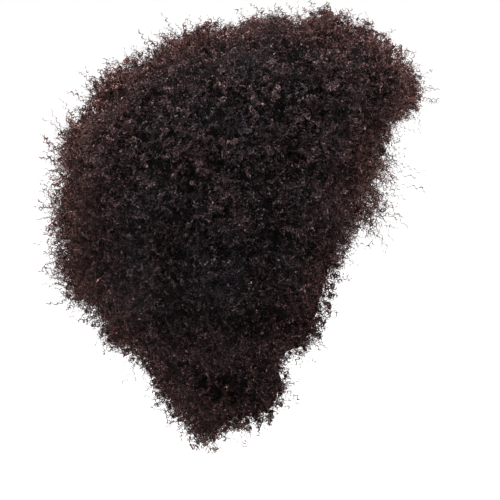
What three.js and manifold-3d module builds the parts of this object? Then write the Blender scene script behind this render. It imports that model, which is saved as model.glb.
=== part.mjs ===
// An afro wig: a stretch cap that sits on the head, and a deep round mass of kinky hair that grows from it.
// Millimetres, +Z up, the face towards -Y and the wearer's left towards +X.
// The origin is the inside of the cap's crown, where the top of the head touches it.
import * as THREE from "three";
import { mergeVertices } from "three/addons/utils/BufferGeometryUtils.js";
import Module from "manifold-3d";

const wasm = await Module();
wasm.setup();

// Driving sizes of the head that wears the wig, from the crown's top.
const HEAD_FRONT = 104; // crown to brow, forwards
const HEAD_BACK = 92; // crown to the back of the skull
const HEAD_HALF_BREADTH = 78;
const HEAD_DROP = 208; // crown to chin, down
const NECK_DROP = 345; // crown to where the shoulders begin, down

// Driving sizes of the hair, from the same point.
const HAIR_TOP = 124; // up
const HAIR_FRONT = 155; // forwards, to the front of the swept-up roll
const HAIR_BACK = 201; // back
const HAIR_HALF_WIDTH = 168; // to each side
const HAIR_HANG = 294; // down, to the ends at the nape

// Walls and gaps.
const CAP_WALL = 1.6;
const ROOT_GAP = 0.35; // between the cap and the hair on it
const PARTING_GAP = 0.4; // between two sections of hair

// Where the sections of hair part from each other.
const FRONT_PARTING_Y = -62;
const BACK_PARTING_Y = 60;
const CROWN_PARTING_Z = -20;
const BROW_PARTING_Z = 4;
const NAPE_PARTING_APEX_Z = -96; // the tip of the cone under which the nape's hair lies
const NAPE_PARTING_Y = 35; // the cone's axis
const NAPE_PARTING_ANGLE = 50; // degrees between the cone and its axis
const FACE_PARTING_X = 53;
const FRINGE_END_Z = -112;

// Locks on the outside.
const LOCK_SPACING = 70;
const LOCK_RADIUS = 42;
const LOCK_HEIGHT = 22;
const LOCK_SINK = 10; // how far a lock's widest ring starts under the surface
const LOCK_SIDES = 6;
const FEWEST_LOCKS = 3; // in a row

// How much the locks differ from each other, as shares of their own sizes and places.
const LOCK_RADIUS_RANGE = [0.8, 1.15];
const LOCK_HEIGHT_RANGE = [0.75, 1.25];
const LOCK_LEAN_RANGE = [-0.5, 0.5];
const LOCK_SHIFT_RANGE = [-0.17, 0.17]; // of the spacing in its row
const LOCK_RISE_RANGE = [-0.01, 0.01]; // of the outline, up or down from its row
const LOCK_SEED = 55;

// Curls over the forehead.
const FRINGE_CURLS = 7;
const FRINGE_HALF_SPAN = 46; // the outermost curl's distance from the middle
const FRINGE_TOP_Z = 14;
const FRINGE_LENGTH = 102;
const FRINGE_RADIUS = 17;
const FRINGE_SWEEP = 24; // how far back the outermost curls start from the middle one
const FRINGE_TAPER_SHARE = 0.22; // how much shorter the outermost curls are
const FRINGE_SPREAD_SLOPE = 0.1; // sideways, of the outermost curls
const FRINGE_TUCK_SLOPE = 0.12; // back to the forehead
const FRINGE_LENGTH_RANGE = [0.95, 1.05];
const FRINGE_RADIUS_RANGE = [0.88, 1.12];
const FRINGE_SEED = 8;

// Beyond everything.
const FAR = 400;

// How finely the round forms are cut.
const HEAD_SIDES = 24;
const HEAD_RINGS = 16;
const HAIR_SIDES = 26;
const HAIR_RINGS = 18;
const OUTLINE_STEPS = 2;
const OUTLINE_SAMPLES = 200; // along the hair's side outline, where rows of locks are spaced
const SLOPE_STEP = 0.004; // as a share of a form, to read its slope
const MERGE_WITHIN = 1e-3;

// Sections of the head and neck, from the crown down. drop is a share of HEAD_DROP down to the chin and runs on
// to NECK_DROP under it; front, back and side are shares of the head's sizes.
const HEAD_SECTIONS = [
  { drop: 0.0, front: 0.0, back: 0.0, side: 0.0 },
  { drop: 0.022, front: 0.33, back: 0.34, side: 0.35 },
  { drop: 0.075, front: 0.58, back: 0.62, side: 0.61 },
  { drop: 0.15, front: 0.78, back: 0.82, side: 0.8 },
  { drop: 0.25, front: 0.91, back: 0.95, side: 0.92 },
  { drop: 0.35, front: 0.975, back: 0.995, side: 0.98 },
  { drop: 0.45, front: 1.0, back: 1.0, side: 1.0 },
  { drop: 0.55, front: 1.02, back: 0.975, side: 0.98 },
  { drop: 0.65, front: 1.06, back: 0.91, side: 0.93 },
  { drop: 0.75, front: 1.08, back: 0.81, side: 0.86 },
  { drop: 0.85, front: 1.05, back: 0.7, side: 0.78 },
  { drop: 0.95, front: 0.98, back: 0.6, side: 0.71 },
  { drop: 1.03, front: 0.66, back: 0.55, side: 0.67 },
  { drop: 1.12, front: 0.42, back: 0.54, side: 0.65 },
  { drop: 1.25, front: 0.4, back: 0.56, side: 0.64 },
  { drop: 1.4, front: 0.44, back: 0.58, side: 0.65 },
  { drop: 1.55, front: 0.5, back: 0.62, side: 0.7 },
  { drop: 1.66, front: 0.0, back: 0.0, side: 0.0 },
];

// Sections of the hair, from the top down: level is a share of HAIR_TOP where it is positive and of HAIR_HANG
// where it is negative; front, back and side are shares of the hair's reaches, and a negative front lies behind
// the crown.
const HAIR_SECTIONS = [
  { level: 1.0, front: 0.24, back: -0.185, side: 0.0 },
  { level: 0.975, front: 0.49, back: 0.1, side: 0.27 },
  { level: 0.905, front: 0.62, back: 0.31, side: 0.47 },
  { level: 0.765, front: 0.77, back: 0.53, side: 0.655 },
  { level: 0.58, front: 0.965, back: 0.69, side: 0.8 },
  { level: 0.4, front: 1.0, back: 0.8, side: 0.89 },
  { level: 0.225, front: 0.91, back: 0.885, side: 0.95 },
  { level: 0.05, front: 0.78, back: 0.95, side: 0.98 },
  { level: -0.085, front: 0.73, back: 0.985, side: 1.0 },
  { level: -0.22, front: 0.72, back: 1.0, side: 0.99 },
  { level: -0.355, front: 0.66, back: 0.99, side: 0.965 },
  { level: -0.475, front: 0.52, back: 0.94, side: 0.915 },
  { level: -0.58, front: 0.41, back: 0.855, side: 0.83 },
  { level: -0.68, front: 0.27, back: 0.725, side: 0.72 },
  { level: -0.78, front: 0.15, back: 0.605, side: 0.61 },
  { level: -0.87, front: 0.11, back: 0.5, side: 0.52 },
  { level: -0.94, front: 0.05, back: 0.41, side: 0.43 },
  { level: -0.985, front: -0.065, back: 0.33, side: 0.315 },
  { level: -1.0, front: -0.26, back: 0.2, side: 0.0 },
];

// The cap's edge as seen from the side, from the middle of the forehead to the nape: y is a share of HEAD_FRONT
// in front of the crown and of HEAD_BACK behind it, drop a share of HEAD_DROP.
const CAP_EDGE = [
  { y: -1.2, drop: 0.16 },
  { y: -0.85, drop: 0.17 },
  { y: -0.7, drop: 0.24 },
  { y: -0.5, drop: 0.36 },
  { y: -0.38, drop: 0.52 },
  { y: -0.27, drop: 0.58 },
  { y: -0.15, drop: 0.53 },
  { y: 0.0, drop: 0.47 },
  { y: 0.22, drop: 0.52 },
  { y: 0.42, drop: 0.66 },
  { y: 0.6, drop: 0.79 },
  { y: 0.8, drop: 0.83 },
  { y: 1.2, drop: 0.83 },
];

// The face opening as seen from the front, from the hairline down: side is a share of HEAD_HALF_BREADTH and drop
// a share of HEAD_DROP.
const FACE_EDGE = [
  { side: 0.0, drop: 0.16 },
  { side: 0.4, drop: 0.18 },
  { side: 0.68, drop: 0.25 },
  { side: 0.77, drop: 0.42 },
  { side: 0.79, drop: 0.63 },
  { side: 0.7, drop: 0.85 },
  { side: 0.62, drop: 1.05 },
  { side: 0.66, drop: 1.3 },
  { side: 0.9, drop: 1.6 },
];
const FACE_DEPTH_SHARE = 0.6; // how far in front of the crown the opening starts, of HEAD_FRONT

// A lock's outline from its buried base to its tip: out is a share of its radius, along of its height.
const LOCK_OUTLINE = [
  { out: 0.0, along: -0.5 },
  { out: 1.0, along: 0.0 },
  { out: 0.88, along: 0.5 },
  { out: 0.5, along: 0.88 },
  { out: 0.0, along: 1.0 },
];

// The hair's tint in the photograph's light, and the cap's.
const hairMaterial = new THREE.MeshStandardMaterial({ color: 0x2a2122, roughness: 0.6, metalness: 0 });
const capMaterial = new THREE.MeshStandardMaterial({ color: 0x161415, roughness: 0.85, metalness: 0 });

// The next repeatable random number within a range.
function pick([low, high]) {
  return THREE.MathUtils.lerp(low, high, THREE.MathUtils.seededRandom());
}

// A smooth curve through the rows of a table: returns a function of 0 to 1 that gives each column's value.
function smoothTable(rows) {
  const columns = Object.keys(rows[0]);
  const curve = new THREE.CubicInterpolant(
    rows.map((row, i) => i / (rows.length - 1)),
    rows.flatMap((row) => columns.map((column) => row[column])),
    columns.length,
  );
  return (share) => {
    const values = curve.evaluate(share);
    return Object.fromEntries(columns.map((column, i) => [column, values[i]]));
  };
}

const headSection = smoothTable(HEAD_SECTIONS);
const hairSection = smoothTable(HAIR_SECTIONS);

// The point at an angle on an oval section; angle 0 faces the wearer's left, a quarter turn the back.
function ovalPoint(angle, z, frontY, backY, halfWidth) {
  const middle = (frontY + backY) / 2;
  const halfDepth = (backY - frontY) / 2;
  return new THREE.Vector3(Math.cos(angle) * halfWidth, middle + Math.sin(angle) * halfDepth, z);
}

// A point on the head, share of the way down its sections, moved out by clearance.
function headPoint(share, angle, clearance) {
  const row = headSection(share);
  const below = Math.max(0, row.drop - 1) / (HEAD_SECTIONS.at(-1).drop - 1);
  const z = -Math.min(row.drop, 1) * HEAD_DROP - below * (NECK_DROP - HEAD_DROP);
  const rise = clearance * (1 - 2 * share);
  return ovalPoint(
    angle,
    z + rise,
    -row.front * HEAD_FRONT - clearance,
    row.back * HEAD_BACK + clearance,
    row.side * HEAD_HALF_BREADTH + clearance,
  );
}

// A point on the hair's outer form.
function hairPoint(share, angle) {
  const row = hairSection(share);
  const z = row.level * (row.level > 0 ? HAIR_TOP : HAIR_HANG);
  return ovalPoint(angle, z, -row.front * HAIR_FRONT, row.back * HAIR_BACK, row.side * HAIR_HALF_WIDTH);
}

// A closed round form: a sphere whose rings are moved on to the sections that pointAt gives, top first.
function roundForm(sides, rings, pointAt) {
  const geometry = new THREE.SphereGeometry(1, sides, rings);
  const position = geometry.getAttribute("position");
  for (let ring = 0; ring <= rings; ring++) {
    const share = ring / rings;
    const pole = pointAt(share, 0).add(pointAt(share, Math.PI)).divideScalar(2);
    for (let side = 0; side <= sides; side++) {
      const angle = (2 * Math.PI * (side % sides)) / sides;
      const point = ring === 0 || ring === rings ? pole : pointAt(share, angle);
      position.setXYZ(ring * (sides + 1) + side, point.x, point.y, point.z);
    }
  }
  return solidOf(geometry);
}

// A three.js geometry as a solid, and back.
function solidOf(geometry) {
  const bare = new THREE.BufferGeometry().setAttribute("position", geometry.getAttribute("position"));
  bare.setIndex(geometry.index);
  const { attributes, index } = mergeVertices(bare, MERGE_WITHIN);
  return new wasm.Manifold(
    new wasm.Mesh({
      numProp: 3,
      vertProperties: new Float32Array(attributes.position.array),
      triVerts: new Uint32Array(index.array),
    }),
  );
}

function geometryOf(solid) {
  const { vertProperties, triVerts } = solid.getMesh();
  const geometry = new THREE.BufferGeometry();
  geometry.setAttribute("position", new THREE.BufferAttribute(vertProperties, 3));
  geometry.setIndex(new THREE.BufferAttribute(triVerts, 1));
  geometry.computeVertexNormals();
  return geometry;
}

// The largest of a solid's separate bodies: a parting can leave crumbs of a lock beside it.
function largestBody(solid) {
  return solid.decompose().reduce((best, body) => (body.volume() > best.volume() ? body : best));
}

// The room that the head takes, moved out by clearance.
function headForm(clearance) {
  return roundForm(HEAD_SIDES, HEAD_RINGS, (share, angle) => headPoint(share, angle, clearance));
}

// A smooth outline through points, closed by straight lines through its corners, and extruded along an axis:
// across the head for a shape of (y, z), and forwards for a shape of (x, z).
function extrudedOutline(curvePoints, corners, depth, placement) {
  const shape = new THREE.Shape();
  shape.moveTo(curvePoints[0].x, curvePoints[0].y);
  shape.splineThru(curvePoints.slice(1));
  corners.forEach((corner) => shape.lineTo(corner.x, corner.y));
  shape.closePath();
  const options = { depth, bevelEnabled: false, curveSegments: OUTLINE_STEPS };
  return solidOf(new THREE.ExtrudeGeometry(shape, options).applyMatrix4(placement));
}

// All that lies above the cap's edge.
function aboveCapEdge() {
  const edge = CAP_EDGE.map(({ y, drop }) => {
    const reach = y < 0 ? HEAD_FRONT : HEAD_BACK;
    return new THREE.Vector2(y * reach, -drop * HEAD_DROP);
  });
  const corners = [
    new THREE.Vector2(FAR, edge.at(-1).y),
    new THREE.Vector2(FAR, FAR),
    new THREE.Vector2(-FAR, FAR),
    new THREE.Vector2(-FAR, edge[0].y),
  ];
  const across = new THREE.Matrix4()
    .makeBasis(new THREE.Vector3(0, 1, 0), new THREE.Vector3(0, 0, 1), new THREE.Vector3(1, 0, 0))
    .setPosition(-FAR, 0, 0);
  return extrudedOutline(edge, corners, 2 * FAR, across);
}

// The opening in front of the face, from the hairline down.
function faceOpening() {
  const left = FACE_EDGE.map(({ side, drop }) => {
    return new THREE.Vector2(side * HEAD_HALF_BREADTH, -drop * HEAD_DROP);
  });
  const right = left.slice(1).map(({ x, y }) => new THREE.Vector2(-x, y));
  const forwards = new THREE.Matrix4()
    .makeRotationX(Math.PI / 2)
    .setPosition(0, -FACE_DEPTH_SHARE * HEAD_FRONT, 0);
  return extrudedOutline([...right.reverse(), ...left], [], FAR, forwards);
}

// One lock: a turned teardrop that stands on foot, along direction, and leans towards its tip.
function lock(foot, direction, radius, height, lean) {
  const outline = LOCK_OUTLINE.map(({ out, along }) => new THREE.Vector2(out * radius, along * height));
  const geometry = new THREE.LatheGeometry(outline, LOCK_SIDES);
  const position = geometry.getAttribute("position");
  for (let i = 0; i < position.count; i++) {
    const share = Math.max(0, position.getY(i) / height);
    position.setX(i, position.getX(i) + lean * radius * share * share);
  }
  const upright = new THREE.Vector3(0, 1, 0);
  const turn = new THREE.Quaternion().setFromUnitVectors(upright, direction);
  return solidOf(geometry.applyQuaternion(turn).translate(foot.x, foot.y, foot.z));
}

// The outward direction of the hair's outer form.
function hairNormal(share, angle) {
  const below = hairPoint(Math.min(1, share + SLOPE_STEP), angle);
  const along = below.sub(hairPoint(Math.max(0, share - SLOPE_STEP), angle));
  const around = hairPoint(share, angle + SLOPE_STEP).sub(hairPoint(share, angle - SLOPE_STEP));
  return around.cross(along).negate().normalize();
}

// The shares at which rows of locks lie, one spacing apart along the side outline.
function lockRows() {
  const rows = [];
  let length = LOCK_SPACING / 2;
  for (let i = 1; i < OUTLINE_SAMPLES; i++) {
    const share = i / OUTLINE_SAMPLES;
    length += hairPoint(share, 0).distanceTo(hairPoint(share - 1 / OUTLINE_SAMPLES, 0));
    if (length >= LOCK_SPACING) {
      rows.push(share);
      length -= LOCK_SPACING;
    }
  }
  return rows;
}

// How many locks fit round the form at a share.
function locksRound(share) {
  const width = hairPoint(share, 0).distanceTo(hairPoint(share, Math.PI));
  const depth = hairPoint(share, Math.PI / 2).distanceTo(hairPoint(share, -Math.PI / 2));
  return Math.max(FEWEST_LOCKS, Math.round((Math.PI * (width + depth)) / 2 / LOCK_SPACING));
}

// The locks all over the outside, in staggered rows round the head.
function outsideLocks() {
  THREE.MathUtils.seededRandom(LOCK_SEED);
  const locks = [];
  for (const [row, rowShare] of lockRows().entries()) {
    const count = locksRound(rowShare);
    for (let i = 0; i < count; i++) {
      const angle = (2 * Math.PI * (i + (row % 2) / 2 + pick(LOCK_SHIFT_RANGE))) / count;
      const share = rowShare + pick(LOCK_RISE_RANGE);
      const radius = LOCK_RADIUS * pick(LOCK_RADIUS_RANGE);
      const height = LOCK_HEIGHT * pick(LOCK_HEIGHT_RANGE);
      const lean = pick(LOCK_LEAN_RANGE);
      const normal = hairNormal(share, angle);
      const foot = hairPoint(share, angle).addScaledVector(normal, -LOCK_SINK);
      locks.push(lock(foot, normal, radius, height, lean));
    }
  }
  return locks;
}

// The curls that fall from the hairline over the forehead, longest in the middle.
function fringeCurls() {
  THREE.MathUtils.seededRandom(FRINGE_SEED);
  return Array.from({ length: FRINGE_CURLS }, (_, i) => {
    const across = (2 * i) / (FRINGE_CURLS - 1) - 1;
    const y = -(HEAD_FRONT + FRINGE_RADIUS) + FRINGE_SWEEP * across * across;
    const foot = new THREE.Vector3(across * FRINGE_HALF_SPAN, y, FRINGE_TOP_Z);
    const down = new THREE.Vector3(FRINGE_SPREAD_SLOPE * across, FRINGE_TUCK_SLOPE, -1).normalize();
    const length = FRINGE_LENGTH * (1 - FRINGE_TAPER_SHARE * across * across) * pick(FRINGE_LENGTH_RANGE);
    const radius = FRINGE_RADIUS * pick(FRINGE_RADIUS_RANGE);
    return lock(foot, down, radius, length, pick(LOCK_LEAN_RANGE));
  });
}

// A block of space, from its lowest to its highest corner, with every side moved out by grow.
function block(low, high, grow) {
  const size = high.map((value, i) => value - low[i] + 2 * grow);
  const middle = high.map((value, i) => (value + low[i]) / 2);
  return solidOf(new THREE.BoxGeometry(...size).translate(...middle));
}

// The space under the cone that the nape's hair hangs in, moved down by half a gap or up by it.
function napeSpace(grow) {
  const slope = THREE.MathUtils.degToRad(NAPE_PARTING_ANGLE);
  const cone = new THREE.ConeGeometry(FAR * Math.tan(slope), FAR, HAIR_SIDES).rotateX(Math.PI / 2);
  return solidOf(cone.translate(0, NAPE_PARTING_Y, NAPE_PARTING_APEX_Z - FAR / 2 + grow / Math.sin(slope)));
}

// The spaces of the sections that the hair parts into, half a parting's gap inside the planes between them.
function sectionSpaces() {
  const inside = -PARTING_GAP / 2;
  const fringe = [
    [-FACE_PARTING_X, -FAR, FRINGE_END_Z],
    [FACE_PARTING_X, FRONT_PARTING_Y, BROW_PARTING_Z],
  ];
  const taken = block(...fringe, -inside).add(napeSpace(-inside));
  const section = (low, high) => block(low, high, inside).subtract(taken);
  return {
    front_hair: section([-FAR, -FAR, CROWN_PARTING_Z], [FAR, FRONT_PARTING_Y, FAR]),
    crown_hair: section([-FAR, FRONT_PARTING_Y, CROWN_PARTING_Z], [FAR, FAR, FAR]),
    fringe: block(...fringe, inside),
    left_side_hair: section([0, -FAR, -FAR], [FAR, BACK_PARTING_Y, CROWN_PARTING_Z]),
    right_side_hair: section([-FAR, -FAR, -FAR], [0, BACK_PARTING_Y, CROWN_PARTING_Z]),
    back_hair: section([-FAR, BACK_PARTING_Y, -FAR], [FAR, FAR, CROWN_PARTING_Z]),
    nape_hair: napeSpace(inside),
  };
}

function namedMesh(name, solid, material) {
  const mesh = new THREE.Mesh(geometryOf(solid), material);
  mesh.name = name;
  return mesh;
}

// The cap: the head's form with a wall, down to the hairline.
const cap = headForm(CAP_WALL).subtract(headForm(0)).intersect(aboveCapEdge());

// The hair: its outer form with the locks fused on, open over the face, hollow where the head and the cap are.
const outerForm = roundForm(HAIR_SIDES, HAIR_RINGS, hairPoint);
const lockedForm = wasm.Manifold.union([outerForm, ...outsideLocks()]).subtract(faceOpening());
const hair = wasm.Manifold.union([lockedForm, ...fringeCurls()]).subtract(headForm(CAP_WALL + ROOT_GAP));

const wig = new THREE.Group();
wig.add(namedMesh("wig_cap", largestBody(cap), capMaterial));
for (const [name, space] of Object.entries(sectionSpaces())) {
  wig.add(namedMesh(name, largestBody(hair.intersect(space)), hairMaterial));
}

export default wig;
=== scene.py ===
"""An afro wig: dense kinky curls in seven sections on a stretch cap, in a plain pale studio."""

import math

import bmesh
import bpy
import numpy as np
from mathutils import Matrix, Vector
from mathutils import noise
from mathutils.bvhtree import BVHTree


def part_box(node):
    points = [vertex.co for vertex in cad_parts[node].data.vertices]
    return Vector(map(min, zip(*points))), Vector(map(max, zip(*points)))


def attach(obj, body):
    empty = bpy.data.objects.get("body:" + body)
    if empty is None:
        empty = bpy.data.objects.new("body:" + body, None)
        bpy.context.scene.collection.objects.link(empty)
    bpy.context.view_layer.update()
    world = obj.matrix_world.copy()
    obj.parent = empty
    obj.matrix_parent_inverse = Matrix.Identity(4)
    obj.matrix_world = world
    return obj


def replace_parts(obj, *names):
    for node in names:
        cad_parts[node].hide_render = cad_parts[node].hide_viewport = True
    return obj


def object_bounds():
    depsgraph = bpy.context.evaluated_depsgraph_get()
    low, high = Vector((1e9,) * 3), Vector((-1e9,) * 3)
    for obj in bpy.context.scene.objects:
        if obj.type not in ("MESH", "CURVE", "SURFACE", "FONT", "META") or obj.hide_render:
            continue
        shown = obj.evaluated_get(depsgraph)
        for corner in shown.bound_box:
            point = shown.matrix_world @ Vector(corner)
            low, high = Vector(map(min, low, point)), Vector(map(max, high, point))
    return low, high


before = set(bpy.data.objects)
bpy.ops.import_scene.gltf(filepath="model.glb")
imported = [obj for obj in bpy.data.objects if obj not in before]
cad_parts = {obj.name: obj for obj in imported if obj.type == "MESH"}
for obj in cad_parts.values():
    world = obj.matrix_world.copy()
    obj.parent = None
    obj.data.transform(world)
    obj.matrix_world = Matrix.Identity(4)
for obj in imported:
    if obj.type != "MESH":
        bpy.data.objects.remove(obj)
cad_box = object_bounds()

MM = 0.001
TAU = 2 * math.pi
TINY = 1e-12
RNG_SEED = 4

# The view: level, from the wearer's right side.
VIEW_CENTRE = Vector((0, 12.4 * MM, -110.2 * MM))
VIEW_WIDTH = 515 * MM
VIEW_DISTANCE = 1.6
SENSOR = 36.0

# The studio, in metres: a round floor that bends up into a wall.
FLOOR_DROP = 0.85
STAGE_RADIUS = 7.0
STAGE_WALL = 4.5
STAGE_BEND = 4.0
STAGE_SIDES = 96
STAGE_BEND_STEPS = 12
STAGE_COLOUR = (0.8, 0.8, 0.8)
STAGE_ROUGHNESS = 0.9

# Round lights: a place and a size in metres, and a power in watts.
LIGHTS = {
    "key": {"place": (-2.3, -0.4, 1.3), "size": 1.6, "power": 24},
    "top": {"place": (0.2, 0.3, 2.4), "size": 1.4, "power": 205},
    "front": {"place": (-0.9, -2.0, 1.3), "size": 1.2, "power": 74},
    "back": {"place": (-0.9, 2.1, 1.1), "size": 1.2, "power": 75},
}
SKY_COLOUR = (1, 1, 1, 1)
SKY_STRENGTH = 1.0

# Corners of a solid that lie nearer than this are one corner.
WELD = 0.01 * MM

# A face is on the outside if it looks away from the head's axis by more than this cosine.
OUTSIDE_COSINE = 0.05

# The axis of the head's room, from which the hair grows outwards.
ROOM_AXIS_Y = 6 * MM
ROOM_AXIS_END = -150 * MM

# A point belongs to the hair's skin if it is nearer than this.
# The ray that measures the hair's thickness starts this far under the skin.
SKIN_DEPTH = 4 * MM

# A wall of the room is under the cap if the cap is nearer than this.
CAP_REACH = 3 * MM

# The dense backing that closes the hair under its curls. Depths are under the hair's skin.
BACKING_VOXEL = 7.5 * MM
BACKING_DEPTH = 16 * MM
ROOM_WALL_DEPTH = 2 * MM
SMOOTHING_ROUNDS = 5

# Where the hair is thin, the backing lies no deeper than about this share of its thickness.
# The thickness isn't measured further than is needed for that.
THIN_SHARE = 0.75
THICK_ENOUGH = 2 * BACKING_DEPTH / THIN_SHARE

# Beside the throat, below this height and ahead of this place, the hair is dense nearly to its surface.
THROAT_Y = 20 * MM
THROAT_Z = -180 * MM
THROAT_BLEND = 30 * MM
THROAT_SHALLOWER = 0.6

# Smooth unevenness: the size of its lumps, its strength, and an offset that makes each one different.
LUMPS = {
    "backing": {"size": 9 * MM, "strength": 0.2, "offset": (0.4, 5.2, 2.8)},
    "tufts": {"size": 28 * MM, "strength": 0.2, "offset": (3.1, 7.7, 1.3)},
    "small_tufts": {"size": 11 * MM, "strength": 0.1, "offset": (9.2, 4.1, 6.6)},
    "brown_and_painted_glow": {"size": 35 * MM, "strength": 0.22, "offset": (2.2, 8.1, 5.4)},
}

# Kinds of curl. A pair is the lowest and the highest, and lengths are in millimetres.
# per_area is how many are tried on a square metre, and the brown share how much browner they are than their
# place: partly painted glow of light shining through the loose outer strands.
# steps is how many corners each has, and depth how deep its root is, drawn with the power deep.
# scatter is how far it strays from growing straight outwards.
# reach is how far it gets, drawn with the power fall.
# coil is its coil's radius, turns how many turns it makes, and width how wide its strip is.
# Away from the loose places only the share even is kept. In them, a curl gets longer by the share loose.
# drop is how far a ringlet hangs below the point that it grows from.
KINDS = {
    "curls": {
        "per_area": 41000,
        "brown_and_painted_glow": 0.0,
        "steps": 15,
        "depth": (10, 17),
        "deep": 1.0,
        "scatter": (0.8, 2.0),
        "reach": (5, 11),
        "fall": 1.0,
        "coil": (1.2, 2.2),
        "turns": (1.9, 2.7),
        "width": (0.44, 0.74),
        "even": 1.0,
        "loose": -0.1,
    },
    "fuzz": {
        "per_area": 46200,
        "brown_and_painted_glow": 0.1,
        "steps": 24,
        "depth": (-1, 13),
        "deep": 0.7,
        "scatter": (0.9, 2.4),
        "reach": (5, 15),
        "fall": 1.3,
        "coil": (1.0, 2.0),
        "turns": (2.8, 4.2),
        "width": (0.18, 0.36),
        "even": 1.0,
        "loose": 0.5,
    },
    "wisps": {
        "per_area": 21500,
        "brown_and_painted_glow": 0.2,
        "steps": 36,
        "depth": (-1, 8),
        "deep": 1.0,
        "scatter": (0.9, 2.4),
        "reach": (7, 20),
        "fall": 1.1,
        "coil": (1.4, 2.4),
        "turns": (4.8, 7.0),
        "width": (0.15, 0.27),
        "even": 0.45,
        "loose": 1.35,
    },
    "inner": {
        "per_area": 75000,
        "brown_and_painted_glow": 0.0,
        "steps": 15,
        "depth": (-0.5, 2),
        "reach": (6, 13),
        "fall": 1.0,
        "coil": (1.2, 2.0),
        "turns": (1.8, 2.6),
        "width": (0.35, 0.75),
    },
    "fringe": {
        "brown_and_painted_glow": 0.4,
        "steps": 38,
        "reach": (7, 27),
        "fall": 1.4,
        "coil": (1.4, 2.6),
        "turns": (4.4, 6.6),
        "width": (0.22, 0.4),
    },
    "ringlets": {
        "per_area": 8000,
        "brown_and_painted_glow": 0.3,
        "steps": 36,
        "reach": (1, 4),
        "fall": 1.0,
        "coil": (2.9, 4.1),
        "turns": (1.7, 2.6),
        "drop": (0, 9),
        "width": (0.9, 1.3),
    },
}

# How every curl's axis bends: one way by a share of its reach, and to and fro by a share of its coil's
# radius. Rates are in radians over a curl's length.
AXIS_BEND = 0.6
AXIS_SWAY = 0.8
SWAY_RATE = 6
CROSS_SWAY_RATE = 8

# How uneven a curl's turns and radius are, how narrow its coil starts and how soon it widens,
# and how much narrower its strip gets towards the tip.
TURN_UNEVENNESS = 0.6
TURN_RATE = 11
RADIUS_UNEVENNESS = 0.25
RADIUS_RATE = 9
ROOT_RADIUS = 0.15
ROOT_WIDENING = 6
TIP_NARROWING = 0.55

# A curl grows along a mix of its skin's normal and the way out from the head's axis.
NORMAL_WEIGHT = 0.6
OUTWARD_WEIGHT = 0.5

# On top, the curls start this much deeper, and are shorter by this share.
TOP_DEEPER = 3 * MM
TOP_SHORTER = 0.15

# The loose frizz at the back of the top and at the back, with places and sizes in millimetres.
LOOSE_PLACES = (
    {"place": (0, 98, 88), "size": 45, "looseness": 0.65},
    {"place": (0, 205, -55), "size": 85, "looseness": 0.9},
)

# Along the walls of the head's room, this share of the curls is kept where the walls show least.
WALL_SHARE = 0.5

# The fringe: how many curls are tried, how soon they get fewer ahead of the cap,
# how much longer the lowest ones are than the highest, and which way they fall.
FRINGE_TRIES = 4700
FRINGE_THINNING = 25 * MM
FRINGE_HANG = 0.9
FRINGE_FALL = (0.0, -0.35, -1.2)

# The ringlets grow from a band this high at the lower edge of the nape, and stray a little from it.
RINGLET_BAND = 18 * MM
RINGLET_SCATTER = 0.3

# Painted glow: the hair is coloured brown near the middle plane, where the side view's outline lies, for
# light coming through there, and blue-black over the ears. It darkens from the first to the second of these
# distances from the middle.
DARK_SIDE_X = (60 * MM, 150 * MM)
LEAST_WARMTH = 0.08
PAINTED_GLOW_IN_MIDDLE = 0.67

# Painted shade low down, as if the light came only from above: the share that makes a strand a painted
# highlight is cut by this share up to the lower height, by less and less above it, and not at all from the
# upper height.
PAINTED_SHADE_Z = (-300 * MM, -40 * MM)
PAINTED_SHADE_SHARE = 0.75

# Painted highlights: light and dark change along each fibre, too: how fine that is, and how much of the
# strand's own painted highlight share is added. Up to the first sum a fibre is dark, and from the second it
# is painted light as a highlight.
HIGHLIGHT_SPECKLE_SCALE = 750
HIGHLIGHT_SPECKLE_DETAIL = 1.0
PAINTED_HIGHLIGHT_SHARE = 0.14
HIGHLIGHT_STARTS = 0.59
HIGHLIGHT_FULL = 0.7

# The fibre's colours. The plain one lies under the mix of the others. The root's colour is painted shade
# deep in the hair, and is gone this far along the fibre.
FIBRE_PLAIN = (0.02, 0.015, 0.015)
PAINTED_ROOT_SHADE = (0.001, 0.001, 0.001, 1)
PAINTED_ROOT_SHADE_END = 0.3
# The dark colours are the fibre's own. The light ones are painted highlights: cool over the ears, and warm,
# with painted glow, where the hair is browner.
DARK_COOL = (0.0006, 0.0005, 0.0007, 1)
DARK_WARM = (0.003, 0.0012, 0.0012, 1)
HIGHLIGHT_COOL = (0.106, 0.097, 0.12, 1)
HIGHLIGHT_WARM = (0.52, 0.25, 0.215, 1)
GLOW_COLOUR = (0.13, 0.055, 0.05, 1)
GLOW_SHARE = 0.17
FIBRE_ROUGHNESS = 0.5
FIBRE_SPECULAR = 0.065

# The dense hair's colours, lighter along the edges of its fine cells.
DENSE_PLAIN = (0.002, 0.0015, 0.0015)
DENSE_EDGES = (0.004, 0.003, 0.003, 1)
DENSE_MIDDLES = (0.0006, 0.0005, 0.0005, 1)
DENSE_EDGE_WIDTH = 0.2
DENSE_CELL_SCALE = 260
DENSE_BUMP = 0.8
DENSE_BUMP_HEIGHT = 1.5 * MM
DENSE_ROUGHNESS = 0.9
DENSE_SPECULAR = 0.06

# The cap's knit.
KNIT_COLOUR = (0.012, 0.011, 0.011)
KNIT_ROUGHNESS = 0.85
TRACK_SCALE = 40
TRACK_DISTORTION = 0.6
TRACK_BUMP = 0.7
TRACK_BUMP_HEIGHT = 1 * MM

HAIR_SECTIONS = (
    "front_hair",
    "crown_hair",
    "left_side_hair",
    "right_side_hair",
    "back_hair",
    "nape_hair",
)
OUTSIDE_KINDS = ("curls", "fuzz", "wisps")
SECTIONS_ROUND_THE_ROOM = ("front_hair", "left_side_hair", "right_side_hair", "back_hair", "nape_hair")

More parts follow.
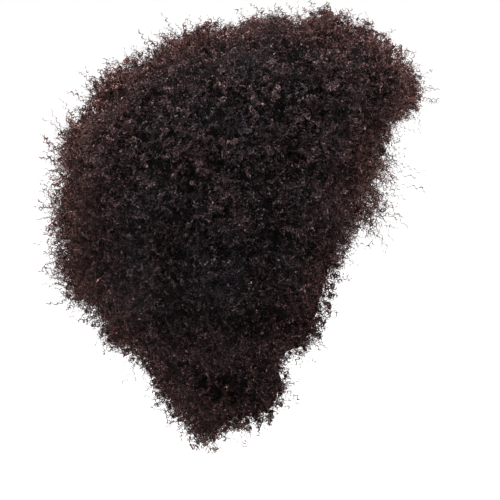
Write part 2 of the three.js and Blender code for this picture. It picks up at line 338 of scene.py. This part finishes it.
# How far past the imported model's box the hair may stand: a share of each side, and a length.
PROUD_SHARE = 0.03
PROUD_LENGTH = 9 * MM

rng = np.random.default_rng(RNG_SEED)


def camera():
    """The camera, level and square to the head's side."""
    data = bpy.data.cameras.new("camera")
    data.sensor_width = SENSOR
    data.lens = SENSOR * VIEW_DISTANCE / VIEW_WIDTH
    cam = bpy.data.objects.new("camera", data)
    cam.location = VIEW_CENTRE - Vector((VIEW_DISTANCE, 0, 0))
    cam.rotation_euler = (math.pi / 2, 0, -math.pi / 2)
    bpy.context.scene.collection.objects.link(cam)
    bpy.context.scene.camera = cam


def plain_material(name, colour, roughness):
    """A new material of one colour."""
    mat = bpy.data.materials.new(name)
    mat.use_nodes = True
    shader = mat.node_tree.nodes["Principled BSDF"]
    shader.inputs["Base Color"].default_value = (*colour, 1)
    shader.inputs["Roughness"].default_value = roughness
    return mat


def bowl_profile():
    """The radius and height of each ring of the studio's floor, from the middle to the wall's top."""
    profile = [(0.0, 0.0)]
    for i in range(STAGE_BEND_STEPS + 1):
        angle = i / STAGE_BEND_STEPS * math.pi / 2
        radius = STAGE_RADIUS - STAGE_BEND + STAGE_BEND * math.sin(angle)
        profile.append((radius, STAGE_BEND * (1 - math.cos(angle))))
    profile.append((STAGE_RADIUS, STAGE_WALL))
    return profile


def bowl_ring(bm, radius, height):
    """The corners of one ring of the studio's floor, or the one corner in its middle."""
    count = 1 if radius == 0 else STAGE_SIDES
    corners = []
    for k in range(count):
        angle = TAU * k / STAGE_SIDES
        place = (radius * math.cos(angle), radius * math.sin(angle), height - FLOOR_DROP)
        corners.append(bm.verts.new(place))
    return corners


def studio_bowl():
    """A pale round floor that bends up into a wall far behind the object on every side."""
    bm = bmesh.new()
    rings = [bowl_ring(bm, radius, height) for radius, height in bowl_profile()]
    for low, high in zip(rings, rings[1:]):
        for k in range(STAGE_SIDES):
            n = (k + 1) % STAGE_SIDES
            if len(low) == 1:
                bm.faces.new((low[0], high[k], high[n]))
            else:
                bm.faces.new((low[k], high[k], high[n], low[n]))
    mesh = bpy.data.meshes.new("studio_floor")
    bm.to_mesh(mesh)
    bm.free()
    mesh.polygons.foreach_set("use_smooth", [True] * len(mesh.polygons))
    mesh.materials.append(plain_material("studio_white", STAGE_COLOUR, STAGE_ROUGHNESS))
    floor = bpy.data.objects.new("studio_floor", mesh)
    bpy.context.scene.collection.objects.link(floor)


def round_light(name, place, size, power):
    """A round light that shines at the middle of the view."""
    data = bpy.data.lights.new(name, "AREA")
    data.shape = "DISK"
    data.size = size
    data.energy = power
    light = bpy.data.objects.new(name, data)
    light.location = place
    light.rotation_mode = "QUATERNION"
    light.rotation_quaternion = (VIEW_CENTRE - Vector(place)).to_track_quat("-Z", "Y")
    bpy.context.scene.collection.objects.link(light)


def studio_light():
    """The sky, the lights and plain tones."""
    world = bpy.data.worlds.new("studio")
    world.use_nodes = True
    sky = world.node_tree.nodes["Background"]
    sky.inputs["Color"].default_value = SKY_COLOUR
    sky.inputs["Strength"].default_value = SKY_STRENGTH
    bpy.context.scene.world = world
    for name, row in LIGHTS.items():
        round_light(name, **row)
    view = bpy.context.scene.view_settings
    view.view_transform = "Standard"
    view.look = "None"


def node_arrays(node):
    """A CAD node's corners and triangles as arrays, with shared corners merged."""
    bm = bmesh.new()
    bm.from_mesh(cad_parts[node].data)
    bmesh.ops.remove_doubles(bm, verts=bm.verts, dist=WELD)
    bmesh.ops.triangulate(bm, faces=bm.faces)
    corners = np.array([v.co for v in bm.verts])
    triangles = np.array([[v.index for v in f.verts] for f in bm.faces])
    bm.free()
    return corners, triangles


def tree_of(node):
    """A tree of a node's triangles, to cast rays at and find near points on."""
    corners, triangles = solids[node]
    return BVHTree.FromPolygons(corners.tolist(), triangles.tolist())


def remeshed(name, mesh):
    """A new mesh of even small faces with the form of this one."""
    carrier = bpy.data.objects.new(name, mesh)
    bpy.context.scene.collection.objects.link(carrier)
    remesh = carrier.modifiers.new("remesh", "REMESH")
    remesh.mode = "VOXEL"
    remesh.voxel_size = BACKING_VOXEL
    made = bpy.data.meshes.new_from_object(carrier.evaluated_get(bpy.context.evaluated_depsgraph_get()))
    bpy.data.objects.remove(carrier)
    return made


def skin_tree():
    """A tree of the whole hair's skin, where the sections are grown together and leave no partings."""
    bm = bmesh.new()
    for name in HAIR_SECTIONS:
        corners, triangles = solids[name]
        verts = [bm.verts.new(corner) for corner in corners]
        for triangle in triangles:
            bm.faces.new([verts[k] for k in triangle])
    mesh = bpy.data.meshes.new("whole_hair")
    bm.to_mesh(mesh)
    bm.free()
    whole = remeshed("whole_hair", mesh)
    bm = bmesh.new()
    bm.from_mesh(whole)
    tree = BVHTree.FromBMesh(bm)
    bm.free()
    return tree


def unit(v):
    """The same directions with a length of 1."""
    return v / np.maximum(np.linalg.norm(v, axis=-1, keepdims=True), TINY)


def random_units(count):
    """Random directions with a length of 1."""
    return unit(rng.normal(size=(count, 3)))


def between(low_high, count):
    """Random lengths between two that are given in millimetres."""
    return rng.uniform(*low_high, count) * MM


def drawn(low_high, power, count):
    """Random lengths between two that are given in millimetres. A power over 1 makes more of them short."""
    low, high = low_high
    return (low + (high - low) * rng.random(count) ** power) * MM


def surface_points(corners, triangles, per_area):
    """Random points on a solid, evenly over its area, and the face normals there."""
    a, b, c = (corners[triangles[:, k]] for k in range(3))
    cross = np.cross(b - a, c - a)
    areas = np.linalg.norm(cross, axis=1) / 2
    count = int(areas.sum() * per_area)
    chosen = rng.choice(len(triangles), count, p=areas / areas.sum())
    u, v = rng.random((2, count, 1))
    fold = u + v > 1
    u, v = np.where(fold, 1 - u, u), np.where(fold, 1 - v, v)
    points = a[chosen] + u * (b - a)[chosen] + v * (c - a)[chosen]
    return points, unit(cross[chosen])


def outward(points):
    """The direction from the head's axis to each point."""
    axis = np.zeros_like(points)
    axis[:, 1] = ROOM_AXIS_Y
    axis[:, 2] = np.clip(points[:, 2], ROOM_AXIS_END, 0)
    return unit(points - axis)


def faces_outward(points, normals):
    """Which points lie on the hair's outside, not on the walls of the head's room."""
    return (normals * outward(points)).sum(1) > OUTSIDE_COSINE


def on_skin(points):
    """The skin's nearest place and normal for each point, how far off it is, and the hair's thickness."""
    places, normals = np.empty_like(points), np.empty_like(points)
    distance, thickness = np.empty(len(points)), np.full(len(points), THICK_ENOUGH)
    for i, p in enumerate(points.tolist()):
        place, normal, _, away = skin.find_nearest(Vector(p))
        places[i], normals[i], distance[i] = place, normal, away
        hit = skin.ray_cast(place - normal * SKIN_DEPTH, -normal, thickness[i])
        if hit[0] is not None:
            thickness[i] = hit[3] + SKIN_DEPTH
    return places, normals, distance, thickness


def room_for_depth(places, thickness):
    """From 0 to 1, how deep the curls go there: less where the hair is thin, and beside the throat."""
    low = np.clip((THROAT_Z - places[:, 2]) / THROAT_BLEND, 0, 1)
    forward = np.clip((THROAT_Y - places[:, 1]) / THROAT_BLEND, 0, 1)
    return np.minimum(1, THIN_SHARE * thickness / BACKING_DEPTH) * (1 - THROAT_SHALLOWER * low * forward)


def bare(points, normals):
    """Which points of the room's walls aren't covered by the cap."""
    free = np.zeros(len(points), bool)
    for i, (p, n) in enumerate(zip(points.tolist(), normals.tolist())):
        free[i] = cap_tree.ray_cast(Vector(p), Vector(n), CAP_REACH)[0] is None
    return free


def lumps(points, name):
    """Smooth unevenness at each point, from about minus its strength to its strength."""
    row = LUMPS[name]
    size, offset = row["size"], Vector(row["offset"])
    return row["strength"] * np.array([noise.noise(Vector(p) / size + offset) for p in points.tolist()])


def looseness(places):
    """How loose the frizz is at each place: from 0 to nearly 1."""
    total = np.zeros(len(places))
    for row in LOOSE_PLACES:
        away = (places - np.array(row["place"]) * MM) / (row["size"] * MM)
        total = total + row["looseness"] * np.exp(-(away**2).sum(1))
    return total


def curled(kind, roots, directions, fullness):
    """Thin strips that coil round axes that bend as they leave the roots, one strip a row."""
    count, steps = len(roots), kind["steps"]
    t = np.linspace(0, 1, steps)[None, :, None]
    reach = (drawn(kind["reach"], kind["fall"], count) * fullness)[:, None, None]
    coil = between(kind["coil"], count)[:, None, None]
    turns = rng.uniform(*kind["turns"], (count, 1, 1))
    width = between(kind["width"], count)[:, None, None]
    start, sway, wave = TAU * rng.random((3, count, 1, 1))
    hand = rng.choice([-1.0, 1.0], (count, 1, 1))
    along = directions[:, None]
    side = unit(np.cross(directions, random_units(count)))[:, None]
    other = np.cross(along, side)
    axis = roots[:, None] + reach * (along * t + AXIS_BEND * random_units(count)[:, None] * t * t)
    swing = np.sin(sway + SWAY_RATE * t) * side + np.cos(wave + CROSS_SWAY_RATE * t) * other
    axis = axis + AXIS_SWAY * coil * t * swing
    angle = start + hand * (TAU * turns * t + TURN_UNEVENNESS * np.sin(wave + TURN_RATE * t))
    radial = np.cos(angle) * side + np.sin(angle) * other
    uneven = 1 + RADIUS_UNEVENNESS * np.sin(sway + RADIUS_RATE * t)
    swell = np.minimum(1, ROOT_RADIUS + ROOT_WIDENING * t) * uneven
    path = axis + coil * swell * radial
    tilt = TAU / 2 * rng.random((count, 1, 1))
    across = unit(np.cos(tilt) * along + np.sin(tilt) * radial)
    zigzag = np.where(np.arange(steps) % 2, 1.0, -1.0)[None, :, None]
    return path + across * zigzag * width * (1 - TIP_NARROWING * t) / 2


def inside_limit(strips):
    """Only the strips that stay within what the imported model's box allows."""
    low, high = np.array(cad_box[0]), np.array(cad_box[1])
    proud = (high - low) * PROUD_SHARE + PROUD_LENGTH
    within = ((strips > low - proud) & (strips < high + proud)).all((1, 2))
    return strips[within]


def brown_and_painted_glow(places, base):
    """From 0 to 1, how brown the hair is there: random brown patches, plus painted glow of light coming
    through, most near the middle plane and least over the ears.
    """
    aside = np.clip((np.abs(places[:, 0]) - DARK_SIDE_X[0]) / (DARK_SIDE_X[1] - DARK_SIDE_X[0]), 0, 1)
    return np.clip(base + LEAST_WARMTH + PAINTED_GLOW_IN_MIDDLE * (1 - aside) + lumps(places, "brown_and_painted_glow"), 0, 1)


def strip_faces(count, steps):
    """The triangles of the strips, whose corners lie on their two edges by turns."""
    step = np.arange(steps - 2)
    turned = np.where(step % 2, 1, 0)
    row = np.stack([step, step + 1 + turned, step + 2 - turned], 1)
    return (np.arange(count)[:, None, None] * steps + row[None]).reshape(-1, 3)


def strips_piece(name, strips, kind_name):
    """One mesh of the strips, with each strip's painted highlight share (cut low down by painted shade),
    its brown tone and painted glow, and how near its tip each corner is.
    """
    strips = inside_limit(strips)
    count, steps = strips.shape[:2]
    faces = strip_faces(count, steps)
    mesh = bpy.data.meshes.new(name)
    mesh.vertices.add(count * steps)
    mesh.vertices.foreach_set("co", strips.astype(np.float32).ravel())
    mesh.loops.add(len(faces) * 3)
    mesh.loops.foreach_set("vertex_index", faces.astype(np.int32).ravel())
    mesh.polygons.add(len(faces))
    mesh.polygons.foreach_set("loop_start", np.arange(0, len(faces) * 3, 3, dtype=np.int32))
    mesh.polygons.foreach_set("use_smooth", np.ones(len(faces), bool))
    mesh.update()
    roots = strips[:, 0]
    # Painted shade: lower strands get fewer painted highlights.
    lit = np.clip((roots[:, 2] - PAINTED_SHADE_Z[0]) / (PAINTED_SHADE_Z[1] - PAINTED_SHADE_Z[0]), 0, 1)
    values = {
        "tint": np.repeat(rng.random(count) * (1 - PAINTED_SHADE_SHARE * (1 - lit)), steps),
        "brown_and_painted_glow": np.repeat(brown_and_painted_glow(roots, KINDS[kind_name]["brown_and_painted_glow"]), steps),
        "tip": np.tile(np.linspace(0, 1, steps), count),
    }
    for attribute, numbers in values.items():
        mesh.attributes.new(attribute, "FLOAT", "POINT").data.foreach_set("value", numbers)
    mesh.materials.append(fibre)
    piece = bpy.data.objects.new(name, mesh)
    bpy.context.scene.collection.objects.link(piece)
    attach(piece, "root")
    return piece


def outside_curls(section, kind_name):
    """The curls that grow from a section's outside, longer and denser where the frizz is loose."""
    kind = KINDS[kind_name]
    points, normals = surface_points(*solids[section], kind["per_area"])
    points = points[faces_outward(points, normals)]
    places, normals, distance, thickness = on_skin(points)
    loose = looseness(places)
    kept = (distance < SKIN_DEPTH) & faces_outward(places, normals)
    kept = kept & (rng.random(len(places)) < kind["even"] + (1 - kind["even"]) * loose)
    room = room_for_depth(places, thickness)[kept]
    places, normals, loose = places[kept], normals[kept], loose[kept]
    count = len(places)
    grow = unit(NORMAL_WEIGHT * normals + OUTWARD_WEIGHT * outward(places))
    directions = unit(grow + random_units(count) * rng.uniform(*kind["scatter"], (count, 1)))
    upward = np.clip(grow[:, 2], 0, 1)
    depth = drawn(kind["depth"], kind["deep"], count)
    roots = places - normals * ((depth + TOP_DEEPER * upward) * room)[:, None]
    fullness = 1 + lumps(places, "tufts") + lumps(places, "small_tufts")
    fullness = fullness * (1 - TOP_SHORTER * upward) * (1 + kind["loose"] * loose)
    return curled(kind, roots, directions, fullness)


def inner_curls(section):
    """The short curls along the walls of the head's room, below the cap.

    They stand out where the walls look forwards or down, and lie along them elsewhere.
    """
    kind = KINDS["inner"]
    points, normals = surface_points(*solids[section], kind["per_area"])
    walls = ~faces_outward(points, normals)
    points, normals = points[walls], normals[walls]
    before_the_neck = points[:, 1] < ROOM_AXIS_Y
    free = np.clip(np.maximum(-normals[:, 1] * before_the_neck, -normals[:, 2]), 0, 1)
    kept = rng.random(len(points)) < WALL_SHARE + (1 - WALL_SHARE) * free
    kept = kept & (on_skin(points)[2] < SKIN_DEPTH) & bare(points, normals)
    points, normals, free = points[kept], normals[kept], free[kept, None]
    count = len(points)
    along = unit(np.cross(normals, random_units(count))) + free * (normals + random_units(count))
    roots = points - normals * between(kind["depth"], count)[:, None]
    return curled(kind, roots, unit(along), np.ones(count))


def smoothed(points, mesh, loose):
    """The points of a mesh, where the loose ones are drawn towards their neighbours a few times."""
    ends = np.empty(len(mesh.edges) * 2, np.int64)
    mesh.edges.foreach_get("vertices", ends)
    ends = ends.reshape(-1, 2)
    ends = np.concatenate([ends, ends[:, ::-1]])
    neighbours = np.bincount(ends[:, 0], minlength=len(points))[:, None]
    for _ in range(SMOOTHING_ROUNDS):
        around = np.zeros_like(points)
        np.add.at(around, ends[:, 0], points[ends[:, 1]])
        points = np.where(loose[:, None], (points + around / neighbours) / 2, points)
    return points


def backing(section):
    """The dense hair under the curls: the section's own form below the skin, with an uneven surface."""
    name = section + "_backing"
    source = bpy.data.meshes.new(section)
    source.from_pydata(solids[section][0].tolist(), [], solids[section][1].tolist())
    made = remeshed(section, source)
    made.name = name
    points = np.empty(len(made.vertices) * 3)
    made.vertices.foreach_get("co", points)
    points = points.reshape(-1, 3)
    places, normals, distance, thickness = on_skin(points)
    depth = BACKING_DEPTH * room_for_depth(places, thickness) * (1 + lumps(places, "backing"))
    depth[~faces_outward(places, normals)] = ROOM_WALL_DEPTH
    depth[~bare(places, normals)] = 0
    push = np.maximum(depth - distance, 0)
    points = smoothed(points - normals * push[:, None], made, push > 0)
    made.vertices.foreach_set("co", points.ravel())
    made.polygons.foreach_set("use_smooth", np.ones(len(made.polygons), bool))
    made.materials.clear()
    made.materials.append(dense)
    made.update()
    piece = bpy.data.objects.new(name, made)
    bpy.context.scene.collection.objects.link(piece)
    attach(piece, "root")
    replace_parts(piece, section)


def fringe_curls():
    """The loose curls that fall over the forehead, all through the fringe's own form.

    There are fewer of them towards its front, and the lower ones hang further down.
    """
    low, high = (np.array(corner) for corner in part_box("fringe"))
    fringe_tree = tree_of("fringe")
    points = rng.uniform(low, high, (FRINGE_TRIES, 3))
    held = np.zeros(len(points), bool)
    for i, p in enumerate(points.tolist()):
        nearest, normal = fringe_tree.find_nearest(Vector(p))[:2]
        held[i] = (Vector(p) - nearest).dot(normal) < 0
    points = points[held]
    ahead = np.maximum(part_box("wig_cap")[0].y - points[:, 1], 0)
    points = points[rng.random(len(points)) < np.exp(-ahead / FRINGE_THINNING)]
    directions = unit(np.array(FRINGE_FALL) + random_units(len(points)))
    longer = 1 + FRINGE_HANG * (high[2] - points[:, 2]) / (high[2] - low[2])
    return curled(KINDS["fringe"], points, directions, longer)


def ringlets():
    """The few larger rings that the ends curl into, low on the nape. They lie nearly flat against it."""
    kind = KINDS["ringlets"]
    points, normals = surface_points(*solids["nape_hair"], kind["per_area"])
    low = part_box("nape_hair")[0].z
    points = points[faces_outward(points, normals) & (points[:, 2] < low + RINGLET_BAND)]
    count = len(points)
    points[:, 2] -= between(kind["drop"], count)
    level = outward(points) * (1, 1, 0)
    directions = unit(level + RINGLET_SCATTER * random_units(count))
    return curled(kind, points, directions, np.ones(count))


def mixed(nodes, links, factor, first, second):
    """A colour mixed from two by a factor's socket; each is a socket or a colour."""
    mix = nodes.new("ShaderNodeMix")
    mix.data_type = "RGBA"
    sockets = {s.identifier: s for s in mix.inputs}
    links.new(factor, sockets["Factor_Float"])
    for identifier, value in (("A_Color", first), ("B_Color", second)):
        if isinstance(value, tuple):
            sockets[identifier].default_value = value
        else:
            links.new(value, sockets[identifier])
    return {s.identifier: s for s in mix.outputs}["Result_Color"]


def calculated(nodes, links, operation, first, second):
    """A math node of a socket and a number."""
    node = nodes.new("ShaderNodeMath")
    node.operation = operation
    links.new(first, node.inputs[0])
    node.inputs[1].default_value = second
    return node


def object_texture(nodes, links, node_type, scale):
    """A texture that lies in the object's own space."""
    place = nodes.new("ShaderNodeTexCoord")
    texture = nodes.new(node_type)
    texture.inputs["Scale"].default_value = scale
    links.new(place.outputs["Object"], texture.inputs["Vector"])
    return texture


def bumped(nodes, links, height, strength, distance):
    """Raises a material's surface by a texture's socket."""
    bump = nodes.new("ShaderNodeBump")
    bump.inputs["Strength"].default_value = strength
    bump.inputs["Distance"].default_value = distance
    links.new(height, bump.inputs["Height"])
    links.new(bump.outputs["Normal"], nodes["Principled BSDF"].inputs["Normal"])


def fibre_colour(nodes, links, given):
    """Painted shade, nearly black at the root; then dark with painted highlight stretches, each browner
    where the hair's brown tone and painted glow are.
    """
    # Painted highlights: where a strand's share plus fine noise passes these sums, the fibre is light.
    highlight_shares = nodes.new("ShaderNodeValToRGB")
    highlight_shares.color_ramp.elements[0].position = HIGHLIGHT_STARTS
    highlight_shares.color_ramp.elements[1].position = HIGHLIGHT_FULL
    highlight_speckle = object_texture(nodes, links, "ShaderNodeTexNoise", HIGHLIGHT_SPECKLE_SCALE)
    highlight_speckle.inputs["Detail"].default_value = HIGHLIGHT_SPECKLE_DETAIL
    spread = calculated(nodes, links, "MULTIPLY_ADD", given["tint"], PAINTED_HIGHLIGHT_SHARE)
    links.new(highlight_speckle.outputs["Fac"], spread.inputs[2])
    links.new(spread.outputs["Value"], highlight_shares.inputs["Fac"])
    # Painted glow: browner where the brown tone and painted glow are, cooler over the ears.
    dark = mixed(nodes, links, given["brown_and_painted_glow"], DARK_COOL, DARK_WARM)
    light = mixed(nodes, links, given["brown_and_painted_glow"], HIGHLIGHT_COOL, HIGHLIGHT_WARM)
    colour = mixed(nodes, links, highlight_shares.outputs["Color"], dark, light)
    # Painted shade: the root end of each fibre is nearly black.
    out_of_root_shade = nodes.new("ShaderNodeMapRange")
    out_of_root_shade.inputs["From Max"].default_value = PAINTED_ROOT_SHADE_END
    links.new(given["tip"], out_of_root_shade.inputs["Value"])
    return mixed(nodes, links, out_of_root_shade.outputs["Result"], PAINTED_ROOT_SHADE, colour)


def fibre_material():
    """Brown-black fibre that lets red-brown light through, more where its brown tone and painted glow are
    stronger.
    """
    mat = plain_material("curled_fibre", FIBRE_PLAIN, FIBRE_ROUGHNESS)
    nodes, links = mat.node_tree.nodes, mat.node_tree.links
    shader = nodes["Principled BSDF"]
    shader.inputs["Specular IOR Level"].default_value = FIBRE_SPECULAR
    given = {}
    for attribute in ("tint", "brown_and_painted_glow", "tip"):
        node = nodes.new("ShaderNodeAttribute")
        node.attribute_name = attribute
        given[attribute] = node.outputs["Fac"]
    links.new(fibre_colour(nodes, links, given), shader.inputs["Base Color"])
    glow = nodes.new("ShaderNodeBsdfTranslucent")
    glow.inputs["Color"].default_value = GLOW_COLOUR
    share = calculated(nodes, links, "MULTIPLY", given["brown_and_painted_glow"], GLOW_SHARE)
    through = nodes.new("ShaderNodeMixShader")
    links.new(share.outputs["Value"], through.inputs["Fac"])
    links.new(shader.outputs["BSDF"], through.inputs[1])
    links.new(glow.outputs["BSDF"], through.inputs[2])
    links.new(through.outputs["Shader"], nodes["Material Output"].inputs["Surface"])
    return mat


def dense_material():
    """The dark depth of the hair, with a fine uneven curl."""
    mat = plain_material("dense_hair", DENSE_PLAIN, DENSE_ROUGHNESS)
    nodes, links = mat.node_tree.nodes, mat.node_tree.links
    shader = nodes["Principled BSDF"]
    shader.inputs["Specular IOR Level"].default_value = DENSE_SPECULAR
    cells = object_texture(nodes, links, "ShaderNodeTexVoronoi", DENSE_CELL_SCALE)
    cells.feature = "DISTANCE_TO_EDGE"
    shades = nodes.new("ShaderNodeValToRGB")
    edges, middles = shades.color_ramp.elements
    edges.color = DENSE_EDGES
    middles.position = DENSE_EDGE_WIDTH
    middles.color = DENSE_MIDDLES
    links.new(cells.outputs["Distance"], shades.inputs["Fac"])
    links.new(shades.outputs["Color"], shader.inputs["Base Color"])
    bumped(nodes, links, cells.outputs["Distance"], DENSE_BUMP, DENSE_BUMP_HEIGHT)
    return mat


def knit_material():
    """Black stretch knit, with the tracks that the hair is sewn along."""
    mat = plain_material("stretch_knit", KNIT_COLOUR, KNIT_ROUGHNESS)
    nodes, links = mat.node_tree.nodes, mat.node_tree.links
    tracks = object_texture(nodes, links, "ShaderNodeTexWave", TRACK_SCALE)
    tracks.bands_direction = "Z"
    tracks.inputs["Distortion"].default_value = TRACK_DISTORTION
    bumped(nodes, links, tracks.outputs["Fac"], TRACK_BUMP, TRACK_BUMP_HEIGHT)
    return mat


camera()
studio_bowl()
studio_light()

fibre = fibre_material()
dense = dense_material()
knit = knit_material()

solids = {name: node_arrays(name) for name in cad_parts}
skin = skin_tree()
cap_tree = tree_of("wig_cap")

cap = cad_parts["wig_cap"]
cap.data.materials.clear()
cap.data.materials.append(knit)

for section in HAIR_SECTIONS:
    backing(section)
    for kind_name in OUTSIDE_KINDS:
        strips_piece(section + "_" + kind_name, outside_curls(section, kind_name), kind_name)
for section in SECTIONS_ROUND_THE_ROOM:
    strips_piece(section + "_inner_curls", inner_curls(section), "inner")
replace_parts(strips_piece("fringe_curls", fringe_curls(), "fringe"), "fringe")
strips_piece("nape_ringlets", ringlets(), "ringlets")
